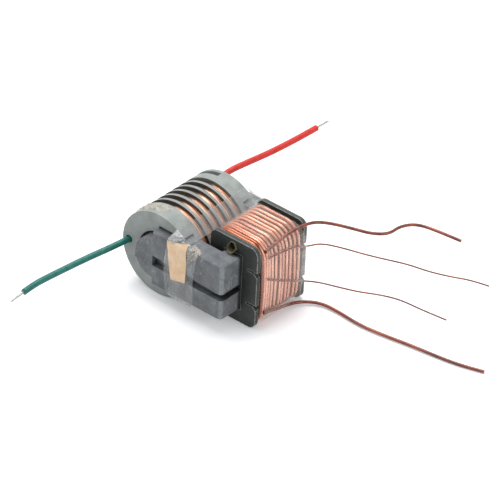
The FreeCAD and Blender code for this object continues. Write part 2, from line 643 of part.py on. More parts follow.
def lead_points(name):
    shift = Vector(value(ANCHORS[name][0]), 0, value(ANCHORS[name][1]))
    return [Vector(*point) + shift for point in ROUTES[name]]


def cord(name, diameter):
    """A lead as straight runs joined by tangent arcs as large as the runs allow."""
    points = lead_points(name)
    edges, radii, last = [], [], points[0]
    for before, here, after in zip(points, points[1:], points[2:]):
        into, out = (here - before), (after - here)
        shorter = min(into.Length, out.Length)
        into.normalize()
        out.normalize()
        turn = into.getAngle(out)
        cut = 0.45 * shorter
        radii.append(cut / math.tan(turn / 2))
        start, end = here - into * cut, here + out * cut
        to_centre = (out - into).normalize() * (cut / math.sin(turn / 2))
        middle = here + to_centre * (1 - math.cos(turn / 2))
        edges.append(Part.LineSegment(last, start).toShape())
        edges.append(Part.Arc(start, middle, end).toShape())
        last = end
    edges.append(Part.LineSegment(last, points[-1]).toShape())
    path = Part.Wire(edges)
    width = value(diameter)
    section = Part.Wire(Part.Circle(points[0], points[1] - points[0], width / 2).toShape())
    solid = Part.Solid(path.makePipeShell([section], True, False))
    if solid.Volume < 0:
        solid.reverse()
    lead = doc.addObject("Part::Feature", name)
    lead.Shape = solid
    lead.Label = name
    share = solid.Volume / (math.pi * width ** 2 / 4 * path.Length)
    print("%s: length %.1f, volume over section x length %.4f, radii %s"
          % (name, path.Length, share, " ".join("%.1f" % radius for radius in radii)))
    return seat(lead)


def bare_end(name, jacket):
    """Straight bare conductor that stands out of the cut end of a jacket."""
    before, end = lead_points(jacket)[-2:]
    wire = doc.addObject("Part::Cylinder", name)
    wire.Label = name
    bind(wire, "Radius", "core_wire_diameter / 2")
    bind(wire, "Height", "core_wire_length")
    seat(wire, Rotation(Vector(0, 0, 1), end - before),
         x="%.3f" % end.x, y="%.3f" % end.y, z="%.3f" % end.z)
    return wire


def build():
    pieces = [secondary_bobbin()]
    pieces += [secondary_winding(i + 1) for i in range(int(value("slot_count")))]
    pieces += [core_half("front_core_half", False), core_half("rear_core_half", True)]
    pieces += core_shims()
    pieces += [primary_bobbin()]
    pieces.append(ring("feedback_winding", about_tube("0"), about_tube("feedback_out"),
                       "coil_front", "coil_rear"))
    pieces.append(ring("interlayer_tape", about_tube("feedback_out"),
                       about_tube("interlayer_out"), "coil_front", "coil_rear"))
    pieces.append(primary_winding())
    pieces.append(ring("winding_tape_wrap", wrap_outline("0"),
                       wrap_outline("wrap_thickness"),
                       "primary_front + wrap_front", "coil_rear - wrap_rear_inset"))
    pieces += [core_tape(), paper_label(), insulating_sleeve(), sealant()]
    pieces += [cord("green_lead_jacket", "jacket_diameter"),
               bare_end("green_lead_conductor", "green_lead_jacket"),
               cord("red_lead_jacket", "jacket_diameter"),
               bare_end("red_lead_conductor", "red_lead_jacket")]
    for side in ("upper", "lower"):
        pieces.append(cord("thick_lead_" + side, "thick_wire_diameter"))
        pieces.append(cord("thin_lead_" + side, "thin_wire_diameter"))
    return pieces


doc = FreeCAD.newDocument("high_voltage_generator")
sheet = doc.addObject("Spreadsheet::Sheet", "Sizes")
for row, (name, number) in enumerate(SIZES, 1):
    sheet.set("A%d" % row, name.replace("_", " "))
    sheet.set("B%d" % row, str(number))
    sheet.setAlias("B%d" % row, name)
doc.recompute()
pieces = build()
doc.recompute()

# Nothing is written unless every object was made and every piece is one sound solid
for item in doc.Objects:
    if "Invalid" in item.State or "Error" in item.State:
        raise RuntimeError("%s was not made: %s" % (item.Name, item.State))
for piece in pieces:
    shape = piece.Shape
    if shape.isNull() or not shape.isValid() or len(shape.Solids) != 1:
        raise RuntimeError("%s is not one sound solid" % piece.Label)
os.makedirs("parts", exist_ok=True)
for piece in pieces:
    piece.Shape.exportStep("parts/%s.step" % piece.Label)
print(len(pieces), "pieces written")
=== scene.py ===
import math
import random

import bmesh
import bpy
from mathutils import Matrix, Vector, noise


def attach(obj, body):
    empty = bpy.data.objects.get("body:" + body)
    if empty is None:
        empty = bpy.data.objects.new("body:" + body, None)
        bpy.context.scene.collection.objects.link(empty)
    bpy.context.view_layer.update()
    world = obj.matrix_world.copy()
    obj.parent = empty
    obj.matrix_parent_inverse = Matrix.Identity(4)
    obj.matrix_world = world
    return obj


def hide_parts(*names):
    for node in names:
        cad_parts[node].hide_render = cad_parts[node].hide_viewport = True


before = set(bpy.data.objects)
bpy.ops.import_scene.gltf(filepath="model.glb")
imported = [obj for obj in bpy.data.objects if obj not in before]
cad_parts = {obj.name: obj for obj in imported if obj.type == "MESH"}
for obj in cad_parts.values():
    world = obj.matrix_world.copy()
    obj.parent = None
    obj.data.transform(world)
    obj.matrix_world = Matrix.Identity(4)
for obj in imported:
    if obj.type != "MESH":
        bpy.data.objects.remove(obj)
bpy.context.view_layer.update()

# Drawing frame: millimetres about the axis of the round leg, Y = 0 on the front face of
# the secondary bobbin. OX, OY and OZ set it down in the shared frame.
OX, OY, OZ = 8.675, 12.845, 12.0

# Measures of the drawing that come up again
RIM = 12.0                             # radius of the secondary bobbin's flanges and fins
MIDDLE = 12.91                         # Y of the plane between the two core halves
SLOT_START, SLOT_PITCH, SLOT_WIDTH = 5.2, 2.72, 1.82
SLOTS_HALF = 7.71                      # from the middle plane to the end of the last slot
GROOVE_DROP = 1.2                      # how low the front yoke's groove lies at its end
WOUND_FRONT, WOUND_REAR = 6.38, 21.4   # ends of the heavy winding
WOUND_BOX = 12.6, 28.2, -11.85, 12.25  # its left, right, low and high side
WOUND_CORNER = 4.2
SEAM = 0.62                            # share of a loop where turns start, low and hidden

# The photograph's view: degrees, and millimetres of the drawing frame
AZIMUTH, ELEVATION, ROLL = 39.2344, 35.1969, 2.6025
TARGET, DISTANCE, SHIFT = (15.2224, 17.0803, 0), 948.91, (0.3412, 0.0465)
LENS = 271.563

scene = bpy.context.scene


def at(x, y, z):
    """A point of the drawing frame as metres in the shared frame."""
    return Vector(((x - OX) / 1000, (y - OY) / 1000, (z + OZ) / 1000))


# ---------------------------------------------------------------- camera and light
def make_camera():
    az, el, roll = math.radians(AZIMUTH), math.radians(ELEVATION), math.radians(ROLL)
    back = Vector((math.sin(az) * math.cos(el), -math.cos(az) * math.cos(el), math.sin(el)))
    right = Vector((math.cos(az), math.sin(az), 0))
    up = back.cross(right)
    across = math.cos(roll) * right + math.sin(roll) * up
    upward = math.cos(roll) * up - math.sin(roll) * right
    place = Vector(TARGET) + back * DISTANCE + across * SHIFT[0] + upward * SHIFT[1]
    data = bpy.data.cameras.new("camera")
    data.lens, data.sensor_width = LENS, 36
    data.clip_start, data.clip_end = 0.05, 20
    camera = bpy.data.objects.new("camera", data)
    scene.collection.objects.link(camera)
    turn = Matrix((across, upward, back)).transposed().to_4x4()
    camera.matrix_world = Matrix.Translation(at(*place)) @ turn
    scene.camera = camera


def area_light(name, place, target, size, power):
    data = bpy.data.lights.new(name, "AREA")
    data.shape, data.size, data.energy = "DISK", size, power
    lamp = bpy.data.objects.new(name, data)
    scene.collection.objects.link(lamp)
    place, target = Vector(place), Vector(target)
    lamp.matrix_world = (Matrix.Translation(place)
                         @ (place - target).to_track_quat("Z", "Y").to_matrix().to_4x4())


def seen_directly(tree):
    """1 for rays that show the background itself, 0 for those that only light things."""
    path = tree.nodes.new("ShaderNodeLightPath")
    total = path.outputs["Is Camera Ray"]
    for name in ("Is Glossy Ray", "Is Transmission Ray"):
        join = tree.nodes.new("ShaderNodeMath")
        join.operation = "MAXIMUM"
        tree.links.new(total, join.inputs[0])
        tree.links.new(path.outputs[name], join.inputs[1])
        total = join.outputs[0]
    return total


def make_world():
    world = bpy.data.worlds.new("studio")
    scene.world = world
    world.use_nodes = True
    tree = world.node_tree
    tree.nodes.clear()
    out = tree.nodes.new("ShaderNodeOutputWorld")
    mix = tree.nodes.new("ShaderNodeMixShader")
    dim, white = [tree.nodes.new("ShaderNodeBackground") for _ in range(2)]
    dim.inputs["Color"].default_value = (0.93, 0.96, 1.0, 1)
    dim.inputs["Strength"].default_value = 0.4
    white.inputs["Color"].default_value = (1, 1, 1, 1)
    tree.links.new(seen_directly(tree), mix.inputs[0])
    tree.links.new(dim.outputs[0], mix.inputs[1])
    tree.links.new(white.outputs[0], mix.inputs[2])
    tree.links.new(mix.outputs[0], out.inputs[0])


def make_floor():
    """A pale floor a hair under the part, seen a little brighter than it lights."""
    mesh = bpy.data.meshes.new("floor")
    half = 3.0
    mesh.from_pydata([(-half, -half, 0), (half, -half, 0), (half, half, 0), (-half, half, 0)],
                     [], [(0, 1, 2, 3)])
    floor = bpy.data.objects.new("floor", mesh)
    scene.collection.objects.link(floor)
    floor.location.z = -0.00002
    paper = bpy.data.materials.new("pale_floor")
    paper.use_nodes = True
    tree = paper.node_tree
    tree.nodes.clear()
    out = tree.nodes.new("ShaderNodeOutputMaterial")
    mix = tree.nodes.new("ShaderNodeMixShader")
    add = tree.nodes.new("ShaderNodeAddShader")
    plain, seen = [tree.nodes.new("ShaderNodeBsdfDiffuse") for _ in range(2)]
    glow = tree.nodes.new("ShaderNodeEmission")
    plain.inputs["Color"].default_value = (0.8, 0.8, 0.8, 1)
    seen.inputs["Color"].default_value = (1.15, 1.15, 1.16, 1)
    glow.inputs["Strength"].default_value = 0.2
    tree.links.new(seen_directly(tree), mix.inputs[0])
    tree.links.new(plain.outputs[0], mix.inputs[1])
    tree.links.new(seen.outputs[0], add.inputs[0])
    tree.links.new(glow.outputs[0], add.inputs[1])
    tree.links.new(add.outputs[0], mix.inputs[2])
    tree.links.new(mix.outputs[0], out.inputs[0])
    mesh.materials.append(paper)


make_camera()
make_world()
make_floor()
area_light("top_light", (-0.15, 0.12, 0.55), (0, 0, 0), 0.45, 2.6)
area_light("front_light", (-0.35, -0.5, 0.35), (0, 0, 0.01), 0.5, 0.8)
area_light("side_light", (0.42, 0.02, 0.24), (0, 0, 0.01), 0.22, 0.35)
scene.view_settings.view_transform = "Standard"


# ---------------------------------------------------------------- materials
def linear(colour):
    """A colour written as six hex digits, or a grey from 0 to 1, as linear values."""
    if isinstance(colour, str):
        parts = [int(colour[i:i + 2], 16) / 255 for i in (0, 2, 4)]
        return [c / 12.92 if c < 0.04045 else ((c + 0.055) / 1.055) ** 2.4
                for c in parts] + [1]
    return [colour] * 3 + [1]


class Look:
    """A procedural material on one Principled shader, with its coordinates in mm."""

    def __init__(self, name, **constants):
        self.material = bpy.data.materials.new(name)
        self.material.use_nodes = True
        self.tree = self.material.node_tree
        self.shader = self.tree.nodes["Principled BSDF"]
        for key, number in constants.items():
            self.shader.inputs[key.replace("_", " ")].default_value = number
        self.mm = self.node("ShaderNodeVectorMath", {
            0: self.node("ShaderNodeTexCoord").outputs["Object"], "Scale": 1000.0},
            operation="SCALE").outputs[0]

    def node(self, kind, inputs=None, **settings):
        node = self.tree.nodes.new(kind)
        for key, setting in settings.items():
            setattr(node, key, setting)
        for key, given in (inputs or {}).items():
            if isinstance(given, bpy.types.NodeSocket):
                self.tree.links.new(given, node.inputs[key])
            else:
                node.inputs[key].default_value = given
        return node

    def math(self, operation, a, b=0.0):
        return self.node("ShaderNodeMath", {0: a, 1: b}, operation=operation).outputs[0]

    def times(self, *factors):
        """The product of two or more values."""
        product = factors[0]
        for factor in factors[1:]:
            product = self.math("MULTIPLY", product, factor)
        return product

    def apart(self, value, middle):
        """How far a value is from a middle one, to either side."""
        return self.math("ABSOLUTE", self.math("SUBTRACT", value, middle))

    def span(self, value, start, end, first=0.0, last=1.0):
        """Read a value on a scale from start to end as first to last, and hold it there."""
        return self.node("ShaderNodeMapRange", {
            0: value, 1: start, 2: end, 3: first, 4: last}).outputs[0]

    def noise(self, scale, detail, stretch=(1, 1, 1), shift=0.0, distortion=0.0):
        where = self.node("ShaderNodeMapping", {"Vector": self.mm, "Scale": stretch,
                                                "Location": (shift, shift, shift)})
        return self.node("ShaderNodeTexNoise", {
            "Vector": where.outputs[0], "Scale": scale, "Detail": detail,
            "Distortion": distortion}).outputs[0]

    def ramp(self, value, *stops):
        node = self.node("ShaderNodeValToRGB", {0: value})
        band = node.color_ramp
        while len(band.elements) < len(stops):
            band.elements.new(0.5)
        for element, (place, colour) in zip(band.elements, stops):
            element.position = place
            element.color = linear(colour)
        return node.outputs[0]

    def mix(self, value, a, b, blend="MIX"):
        node = self.node("ShaderNodeMix", data_type="RGBA", blend_type=blend)
        colours = [socket for socket in node.inputs if socket.type == "RGBA"]
        factor = [socket for socket in node.inputs if socket.type == "VALUE"][0]
        for socket, given in ((factor, value), (colours[0], a), (colours[1], b)):
            if isinstance(given, bpy.types.NodeSocket):
                self.tree.links.new(given, socket)
            else:
                socket.default_value = given if socket is factor else linear(given)
        return [socket for socket in node.outputs if socket.type == "RGBA"][0]

    def edges(self, radius, low=0.02, high=0.2):
        """0 on flat ground, rising to 1 where the surface turns within a radius in mm."""
        soft = self.node("ShaderNodeBevel", {"Radius": radius / 1000}, samples=6)
        flat = self.node("ShaderNodeNewGeometry").outputs["Normal"]
        same = self.node("ShaderNodeVectorMath", {0: soft.outputs[0], 1: flat},
                         operation="DOT_PRODUCT").outputs["Value"]
        return self.span(self.math("SUBTRACT", 1.0, same), low, high)

    def painted_hollow_shade(self, colour, reach, *stops):
        """Paint shade into a colour where the piece's own walls close in within a reach in mm.
        """
        clear = self.node("ShaderNodeAmbientOcclusion", {"Distance": reach / 1000},
                          samples=8, only_local=True).outputs["AO"]
        return self.mix(1.0, colour, self.ramp(clear, *stops), "MULTIPLY")

    def drawing(self):
        """X, Y and Z in the drawing frame, in mm."""
        axis = self.node("ShaderNodeMapping", {
            "Vector": self.mm, "Location": (OX, OY, -OZ)}).outputs[0]
        return self.node("ShaderNodeSeparateXYZ", {0: axis}).outputs

    def loose(self):
        """What mark_loose wrote on the piece, point by point."""
        return self.node("ShaderNodeAttribute", attribute_name="loose").outputs["Fac"]

    def bump(self, height, depth, over=None):
        inputs = {"Height": height, "Distance": depth / 1000, "Strength": 1.0}
        if over:
            inputs["Normal"] = over
        return self.node("ShaderNodeBump", inputs).outputs[0]

    def finish(self, colour, roughness=None, normal=None, alpha=None):
        for key, given in (("Base Color", colour), ("Roughness", roughness),
                           ("Normal", normal), ("Alpha", alpha)):
            if given is not None:
                self.tree.links.new(given, self.shader.inputs[key])
        return self.material


def ferrite_look():
    look = Look("ferrite", Specular_IOR_Level=0.3)
    clouds = look.ramp(look.noise(0.35, 4), (0.3, "66686b"), (0.7, "808386"))
    grain = look.ramp(look.noise(9.0, 4, shift=3), (0.3, 0.34), (0.55, 0.5), (0.75, 0.68))
    colour = look.mix(0.55, clouds, grain, "SOFT_LIGHT")
    scuff = look.noise(1.6, 6, (3.0, 0.6, 0.6), 11, 1.5)
    colour = look.mix(look.ramp(scuff, (0.6, 0.0), (0.72, 0.4)), colour, "9ca1a1")
    line = look.noise(0.5, 2, (1.0, 1.0, 0.4), 21, 0.8)
    scratch = look.times(look.ramp(line, (0.486, 0.0), (0.5, 1.0), (0.514, 0.0)),
                         look.ramp(look.noise(0.4, 1, shift=31), (0.44, 0.0), (0.54, 0.7)))
    colour = look.mix(scratch, colour, "adb1b1")
    pits = look.noise(2.4, 2, shift=17)
    colour = look.mix(look.ramp(pits, (0.69, 0.0), (0.72, 0.8)), colour, "3b3d41")
    worn = look.times(look.edges(0.4),
                      look.ramp(look.noise(1.3, 4, shift=5), (0.35, 0.15), (0.65, 0.75)))
    colour = look.mix(worn, colour, "aab0b0")
    # Painted highlight on the rounded upright corner of the front yoke, where it faces front
    # and right, broken up by noise
    facing = look.node("ShaderNodeSeparateXYZ", {
        0: look.node("ShaderNodeNewGeometry").outputs["Normal"]}).outputs
    corner = look.times(facing[0], facing[1], -1.0)
    corner = look.times(look.ramp(corner, (0.12, 0.0), (0.4, 0.8)),
                        look.ramp(look.noise(0.8, 5, shift=14), (0.3, 0.4), (0.6, 1.0)))
    colour = look.mix(corner, colour, "9fa4a4")
    # Painted shade: its groove goes black inside towards the end, and so do the legs between
    # the yokes
    parts = look.drawing()
    groove = look.times(look.span(look.apart(parts[2], -GROOVE_DROP), 1.25, 1.0),
                        look.span(parts[1], -2.0, -0.6), look.span(parts[0], 18.0, 20.0))
    legs = look.span(look.apart(parts[1], MIDDLE), 9.0, 8.6)
    colour = look.mix(look.times(look.math("MAXIMUM", groove, legs), 0.85), colour, "1d1d1e")
    # Painted shade in the hollows
    colour = look.painted_hollow_shade(colour, 1.6, (0.2, 0.25), (0.8, 1.0))
    roughness = look.ramp(look.noise(2.2, 4, shift=9), (0.3, 0.5), (0.7, 0.7))
    normal = look.bump(look.noise(7.0, 5), 0.02)
    normal = look.bump(look.ramp(pits, (0.68, 1.0), (0.73, 0.0)), 0.12, normal)
    return look.finish(colour, roughness, look.bump(look.noise(1.1, 2, shift=2), 0.05, normal))


def grey_bobbin_look():
    look = Look("grey_plastic", Specular_IOR_Level=0.4)
    clouds = look.ramp(look.noise(0.3, 4, shift=1), (0.3, "8f9592"), (0.7, "abb0ab"))
    speckle = look.ramp(look.noise(6.0, 5, shift=4), (0.3, 0.36), (0.6, 0.52), (0.8, 0.66))
    colour = look.mix(0.45, clouds, speckle, "SOFT_LIGHT")
    # Varnish and shade have browned the walls of the winding slots up to their rims
    parts = look.drawing()
    radius = look.math("SQRT", look.math("ADD", look.math("POWER", parts[0], 2.0),
                                         look.math("POWER", parts[2], 2.0)))
    slot = look.times(look.span(radius, RIM - 0.008, RIM - 0.07),
                      look.span(look.apart(parts[1], MIDDLE),
                                SLOTS_HALF + 0.09, SLOTS_HALF - 0.05))
    brown = look.ramp(look.noise(2.0, 4, shift=7), (0.3, "433c36"), (0.7, "57504a"))
    colour = look.mix(slot, colour, brown)
    worn = look.times(look.edges(0.3), look.noise(1.5, 4, shift=5),
                      look.math("SUBTRACT", 1.0, slot), 0.9)
    colour = look.mix(worn, colour, "b9bcb4")
    # Painted shade in the hollows
    colour = look.painted_hollow_shade(colour, 1.0, (0.15, 0.4), (0.7, 1.0))
    roughness = look.ramp(look.noise(1.8, 4, shift=9), (0.3, 0.46), (0.7, 0.62))
    normal = look.bump(look.noise(5.0, 4), 0.012)
    return look.finish(colour, roughness, look.bump(look.noise(0.9, 2, shift=2), 0.05, normal))


def dark_bobbin_look():
    look = Look("dark_plastic", Specular_IOR_Level=0.45)
    clouds = look.ramp(look.noise(0.5, 4, shift=1), (0.3, "252927"), (0.7, "343936"))
    speckle = look.ramp(look.noise(8.0, 5, shift=4), (0.35, 0.42), (0.62, 0.5), (0.74, 0.72))
    colour = look.mix(0.5, clouds, speckle, "SOFT_LIGHT")
    scuff = look.noise(1.4, 6, (0.5, 1.0, 2.5), 8, 1.0)
    colour = look.mix(look.ramp(scuff, (0.62, 0.0), (0.75, 0.35)), colour, "757b75")
    # The colour turns lighter towards the rear flange
    colour = look.mix(look.span(look.drawing()[1], 18.0, 21.0, 0.0, 0.6), colour, "50544f")
    worn = look.times(look.edges(0.32, 0.01, 0.1),
                      look.ramp(look.noise(1.6, 6, shift=6), (0.34, 0.2), (0.54, 1.0)))
    colour = look.mix(worn, colour, "bcc1b8")
    roughness = look.ramp(look.noise(2.0, 4, shift=9), (0.3, 0.36), (0.7, 0.56))
    normal = look.bump(look.noise(6.0, 4), 0.012)
    return look.finish(colour, roughness, look.bump(look.noise(0.8, 2, shift=2), 0.06, normal))


def fine_copper_look():
    look = Look("fine_copper", Metallic=0.4, Anisotropic=0.5, Coat_Weight=0.4,
                Coat_Roughness=0.2)
    strands = look.noise(1.0, 3, (0.22, 7.0, 0.22))
    colour = look.ramp(strands, (0.34, "6e3d2b"), (0.46, "e0936a"), (0.6, "ffd8bd"))
    # Painted highlight: the wire is bright copper on the side towards the tape, where the
    # light glints on it, and dark brown elsewhere
    parts = look.drawing()
    around = look.math("ARCTAN2", parts[0], parts[2])
    around = look.math("ADD", around, look.times(look.noise(0.5, 2, shift=3), 0.3))
    painted_glint = look.ramp(look.times(around, 0.5), (0.05, 0.0), (0.17, 1.0), (0.6, 1.0),
                      (0.8, 0.2))
    colour = look.mix(painted_glint, "4b3a32", colour)
    # Painted shade in the hollows
    colour = look.painted_hollow_shade(colour, 0.5, (0.1, 0.55), (0.5, 1.0))
    roughness = look.ramp(look.noise(1.5, 3, shift=5), (0.3, 0.3), (0.7, 0.48))
    return look.finish(colour, roughness, look.bump(strands, 0.06))


def heavy_copper_look(name, tones, rough, metal, hazed=None):
    """Enamelled wire in three tones from dark to light, and paler ones under the film."""
    look = Look(name, Metallic=metal, Coat_Weight=0.7, Coat_Roughness=0.1)
    tone = look.noise(0.9, 2, (0.12, 1.0, 0.12), 2)
    stops = 0.32, 0.48, 0.68
    colour = look.ramp(tone, *zip(stops, tones))
    if hazed:
        # The front edge of the winding film, which comes forward round the right side
        parts = look.drawing()
        edge = look.span(parts[0], 25.0, 28.0, 8.3, 6.5)
        under = look.span(look.math("SUBTRACT", parts[1], edge), -0.1, 0.15)
        colour = look.mix(under, colour, look.ramp(tone, *zip(stops, hazed)))
        # On the side the wire is paler still: painted sheen of the film on that side, where it
        # also lies looser over the wire
        side = look.span(parts[0], 26.0, 28.2, 0.0, 0.24)
        colour = look.mix(look.times(side, under), colour, "ffe6da")
        # Painted shadow: the first turn on the side is darkened in the gap beside the flange
        gap = look.times(look.span(parts[1], 7.5, 6.9), look.span(parts[0], 25.5, 27.5), 0.8)
        colour = look.mix(gap, colour, "5a2411")
    # Painted shade in the hollows
    colour = look.painted_hollow_shade(colour, 0.9, (0.1, 0.3), (0.55, 1.0))
    roughness = look.ramp(look.noise(0.8, 3, shift=9), (0.3, rough), (0.7, rough + 0.14))
    return look.finish(colour, roughness, look.bump(look.noise(0.7, 2, shift=3), 0.02))


def film_look(name, tint, haze, base, veil, crease, rough=0.12):
    """Clear tape: faint where smooth, whiter in creases, at a slant and where loose."""
    look = Look(name, Roughness=rough, IOR=1.5)
    soft = look.ramp(look.noise(0.22, 3, (1, 1, 1), 3, 0.8), (0.4, 0.0), (0.66, 1.0))
    wave = look.noise(0.5, 2, (1.0, 0.6, 1.0), 8, 1.4)
    creased = look.times(look.ramp(wave, (0.475, 0.0), (0.5, 1.0), (0.525, 0.0)),
                         look.ramp(look.noise(0.3, 2, shift=30), (0.45, 0.0), (0.6, 1.0)))
    slant = look.node("ShaderNodeLayerWeight", {"Blend": 0.3}).outputs["Facing"]
    loose = look.loose()
    marks = look.math("ADD", look.times(soft, veil), look.times(creased, crease))
    marks = look.math("ADD", look.times(marks, loose), look.times(soft, veil * 0.12))
    alpha = look.math("ADD", look.math("ADD", marks, base), look.math(
        "ADD", look.times(loose, 0.05), look.times(slant, 0.09)))
    colour = look.mix(look.times(look.math("MAXIMUM", soft, creased), loose), tint, haze)
    return look.finish(colour, alpha=alpha, normal=look.bump(look.times(wave, loose), 0.035))


def residue_look():
    """Dry glue in flakes, thick in the middle of the patch and broken up at its edges."""
    look = Look("glue_residue", Specular_IOR_Level=0.3, Roughness=0.6)
    flakes = look.noise(1.9, 6, shift=6, distortion=0.6)
    cover = look.math("ADD", flakes, look.times(look.loose(), 0.16))
    alpha = look.ramp(cover, (0.52, 0.0), (0.6, 0.55), (0.72, 0.85))
    colour = look.ramp(look.noise(3.2, 5, shift=12), (0.36, "a39c92"), (0.5, "c4beb3"),
                       (0.66, "e9e4dc"))
    return look.finish(colour, alpha=alpha, normal=look.bump(flakes, 0.25))


def paper_look():
    look = Look("tan_paper", Specular_IOR_Level=0.2, Roughness=0.78)
    tone = look.ramp(look.noise(0.4, 4, shift=2), (0.3, "f4cb9f"), (0.7, "ffe4c6"))
    crepe = look.noise(2.6, 4, (0.5, 1, 3.0), 5)
    colour = look.mix(0.6, tone, look.ramp(crepe, (0.3, 0.38), (0.7, 0.64)), "SOFT_LIGHT")
    stain = look.ramp(look.noise(0.9, 4, shift=12), (0.55, 0.0), (0.75, 0.45))
    colour = look.mix(stain, colour, "e0b486")
    # Painted shade along the label's crease, which its sheet marks as loose
    colour = look.mix(look.times(look.loose(), 0.75), colour, "a8794c")
    return look.finish(colour, normal=look.bump(crepe, 0.04))


def plain_look(name, light, dark, scale, rough, bump=0.02, **constants):
    """A mottled material of two tones with its own grain."""
    look = Look(name, **constants)
    colour = look.ramp(look.noise(scale, 5, shift=2), (0.32, dark), (0.68, light))
    roughness = look.ramp(look.noise(scale * 2, 4, shift=7), (0.3, rough - 0.08),
                          (0.7, rough + 0.08))
    return look.finish(colour, roughness, look.bump(look.noise(scale * 4, 5, shift=4), bump))


FERRITE = ferrite_look()
GREY = grey_bobbin_look()
DARK = dark_bobbin_look()
FINE = fine_copper_look()
HEAVY = heavy_copper_look("heavy_copper", ("6d2d10", "9f4a25", "b96a44"), 0.2, 0.6,
                          ("b06040", "da8a6a", "f3b89a"))
DEEP_COPPER = heavy_copper_look("shaded_copper", ("3a1910", "522718", "6b3523"), 0.35, 0.2,
                                ("6d5046", "8a6a5e", "a38478"))
LEAD_COPPER = heavy_copper_look("lead_copper", ("4a1b0d", "6f2d16", "8c3f22"), 0.28, 0.6)
WRAP_FILM = film_look("wrap_film", "ffe6da", "ffffff", 0.05, 0.12, 0.5, 0.08)
BAND_FILM = film_look("band_film", "d2d4d3", "f6f8f8", 0.075, 0.24, 0.4)
CRUMPLED_FILM = film_look("crumpled_film", "d2d3d2", "ffffff", 0.28, 0.5, 0.8, 0.2)
RESIDUE = residue_look()
PAPER = paper_look()
GREEN = plain_look("green_jacket", "147c71", "0e655b", 0.8, 0.42, 0.01)
RED = plain_look("red_jacket", "e5372a", "cc2a1f", 0.8, 0.5, 0.01)
TINNED = plain_look("tinned_copper", "c9c9c6", "8f908e", 3.0, 0.34, 0.03, Metallic=1.0)
OLIVE = plain_look("olive_sleeve", "74724f", "4e4c33", 1.2, 0.4, 0.01,
                   Subsurface_Weight=0.3, Subsurface_Scale=0.001)
SEALANT = plain_look("sealant", "cbc8bd", "a19d90", 1.2, 0.8, 0.14)
INSULATION = plain_look("insulating_film", "b9a468", "9a8648", 0.8, 0.35)
SPACER = plain_look("gap_spacer", "d8cfb8", "beb395", 1.2, 0.7)


# ---------------------------------------------------------------- pieces
def own(piece, slot, *nodes):
    """Let a piece ride on the part and stand for CAD nodes; the slot is not used."""
    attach(piece, "root")
    if nodes:
        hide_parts(*nodes)
    return piece


def add_mesh(name, points, faces, material, slot, nodes=()):
    mesh = bpy.data.meshes.new(name)
    mesh.from_pydata([tuple(at(*point)) for point in points], [], faces)
    mesh.polygons.foreach_set("use_smooth", [True] * len(mesh.polygons))
    mesh.materials.append(material)
    piece = bpy.data.objects.new(name, mesh)
    scene.collection.objects.link(piece)
    return own(piece, slot, *nodes)


def paint(node, material):
    """Give a CAD node that stays its procedural material."""
    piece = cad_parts[node]
    if not piece.material_slots:
        piece.data.materials.append(None)
    for each in piece.material_slots:
        each.link = "OBJECT"
        each.material = material


def refined(node, name, material, slot, width, shape=None):
    """A copy of a CAD node with its flat faces joined and its sharp edges rounded."""
    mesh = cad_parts[node].data.copy()
    mesh.name = name
    work = bmesh.new()
    work.from_mesh(mesh)
    bmesh.ops.remove_doubles(work, verts=work.verts, dist=2e-6)
    bmesh.ops.dissolve_limit(work, angle_limit=math.radians(0.6), verts=work.verts,
                             edges=work.edges)
    if shape:
        for vertex in work.verts:
            shape(vertex)
    for face in work.faces:
        face.smooth = True
    work.to_mesh(mesh)
    work.free()
    mesh.materials.clear()
    mesh.materials.append(material)
    piece = bpy.data.objects.new(name, mesh)
    scene.collection.objects.link(piece)
    bevel = piece.modifiers.new("round", "BEVEL")
    bevel.width, bevel.segments, bevel.limit_method = width / 1000, 3, "ANGLE"
    bevel.angle_limit = math.radians(28)
    bevel.use_clamp_overlap = True
    normals = piece.modifiers.new("normals", "WEIGHTED_NORMAL")
    normals.mode, normals.weight = "FACE_AREA", 60
    own(piece, slot, node)


def strip_faces(rows, columns, ring=False, closed=False):
    """Faces of a grid of points: rows joined round (ring), last row joined on (closed)."""
    faces = []
    for i in range(rows if closed else rows - 1):
        for j in range(columns if ring else columns - 1):
            a, b = i * columns + j, i * columns + (j + 1) % columns
            k = (i + 1) % rows * columns
            faces.append((a, b, k + (j + 1) % columns, k + j))
    return faces


def thicken(piece, thickness):
    """Make a sheet a closed plate of a thickness in mm, half of it to each side."""
    solid = piece.modifiers.new("thickness", "SOLIDIFY")
    solid.thickness, solid.offset = thickness / 1000, 0


